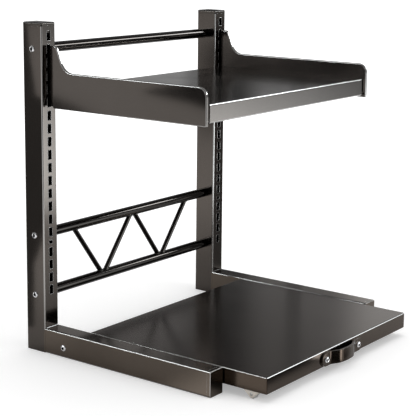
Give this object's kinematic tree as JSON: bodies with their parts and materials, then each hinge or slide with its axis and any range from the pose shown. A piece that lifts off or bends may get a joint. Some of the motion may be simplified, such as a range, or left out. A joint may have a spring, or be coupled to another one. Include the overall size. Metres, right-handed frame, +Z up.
{
  "type": "microwave stand",
  "caption": "Open stand for a microwave: slotted uprights on long feet, a hook-on shelf between side panels, a truss at the back and a low pull-out tray on small wheels.",
  "frame": {"origin": "on the floor, under the middle of the whole stand's box with the tray as pictured", "axes": "+Z up, +Y from the tray's handle to the uprights at the back, +X to the right of someone who faces the handle"},
  "size_m": [0.4678, 0.4452, 0.51],
  "materials": {
    "frame_metal": "polished bronze-black metallic coat",
    "shelf_metal": "polished bronze-black metallic coat",
    "tray_metal": "polished bronze-black metallic coat",
    "cap": "polished bronze-black, as the tubes",
    "screw": "bright plated domed heads",
    "plated_part": "plain zinc plate",
    "hook_plate": "black",
    "caster_fork": "pale zinc plate",
    "caster_wheel": "moulded, light grey",
    "guide_strip": "black low-friction plastic",
    "bumper": "black rubber"
  },
  "bodies": {
    "stand": {"upright_left": "frame_metal", "upright_right": "frame_metal", "foot_left": "frame_metal", "foot_right": "frame_metal", "upright_cap_left": "cap", "upright_cap_right": "cap", "foot_cap_left": "cap", "foot_cap_right": "cap", "top_rail": "frame_metal", "truss_top_tube": "frame_metal", "truss_bottom_tube": "frame_metal", "base_tube": "frame_metal", "truss_rod_1": "frame_metal", "truss_rod_2": "frame_metal", "truss_rod_3": "frame_metal", "truss_rod_4": "frame_metal", "tube_inserts": "plated_part", "frame_screws_left": "screw", "frame_screws_right": "screw", "guide_strip_left": "guide_strip", "guide_strip_right": "guide_strip"},
    "shelf": {"shelf_deck": "shelf_metal", "deck_rib_front": "shelf_metal", "deck_rib_rear": "shelf_metal", "bracket_shell_outer_left": "shelf_metal", "bracket_shell_inner_left": "shelf_metal", "hook_plate_left": "hook_plate", "bracket_shell_outer_right": "shelf_metal", "bracket_shell_inner_right": "shelf_metal", "hook_plate_right": "hook_plate", "shelf_screws": "screw", "shelf_nuts": "plated_part"},
    "tray": {"tray_pan": "tray_metal", "tray_channel_front": "tray_metal", "tray_channel_rear": "tray_metal", "tray_bumpers": "bumper", "handle_strap": "tray_metal", "handle_screws": "screw", "handle_nuts": "plated_part", "fork_front_left": "caster_fork", "fork_front_right": "caster_fork", "fork_rear_left": "caster_fork", "fork_rear_right": "caster_fork", "caster_axles": "plated_part"},
    "wheel_front_left_body": {"wheel_front_left": "caster_wheel"},
    "wheel_front_right_body": {"wheel_front_right": "caster_wheel"},
    "wheel_rear_left_body": {"wheel_rear_left": "caster_wheel"},
    "wheel_rear_right_body": {"wheel_rear_right": "caster_wheel"}
  },
  "joints": [
    {"name": "tray_slide", "type": "slide", "parent": "stand", "child": "tray", "axis": [0, -1, 0], "range_m": [-0.014, 0.22]},
    {"name": "shelf_lift", "type": "slide", "parent": "stand", "child": "shelf", "axis": [0, 0, 1], "range_m": [0, 0.007]},
    {"name": "wheel_front_left_spin", "type": "hinge", "parent": "tray", "child": "wheel_front_left_body", "pos_m": [-0.1906, -0.181, 0.007], "axis": [1, 0, 0], "continuous": true},
    {"name": "wheel_front_right_spin", "type": "hinge", "parent": "tray", "child": "wheel_front_right_body", "pos_m": [0.1906, -0.181, 0.007], "axis": [1, 0, 0], "continuous": true},
    {"name": "wheel_rear_left_spin", "type": "hinge", "parent": "tray", "child": "wheel_rear_left_body", "pos_m": [-0.1906, 0.0955, 0.007], "axis": [1, 0, 0], "continuous": true},
    {"name": "wheel_rear_right_spin", "type": "hinge", "parent": "tray", "child": "wheel_rear_right_body", "pos_m": [0.1906, 0.0955, 0.007], "axis": [1, 0, 0], "continuous": true}
  ],
  "couplings": [
    {"joint": "wheel_front_left_spin", "follows": "tray_slide", "rad_per_m": 142.86},
    {"joint": "wheel_front_right_spin", "follows": "tray_slide", "rad_per_m": 142.86},
    {"joint": "wheel_rear_left_spin", "follows": "tray_slide", "rad_per_m": 142.86},
    {"joint": "wheel_rear_right_spin", "follows": "tray_slide", "rad_per_m": 142.86}
  ]
}
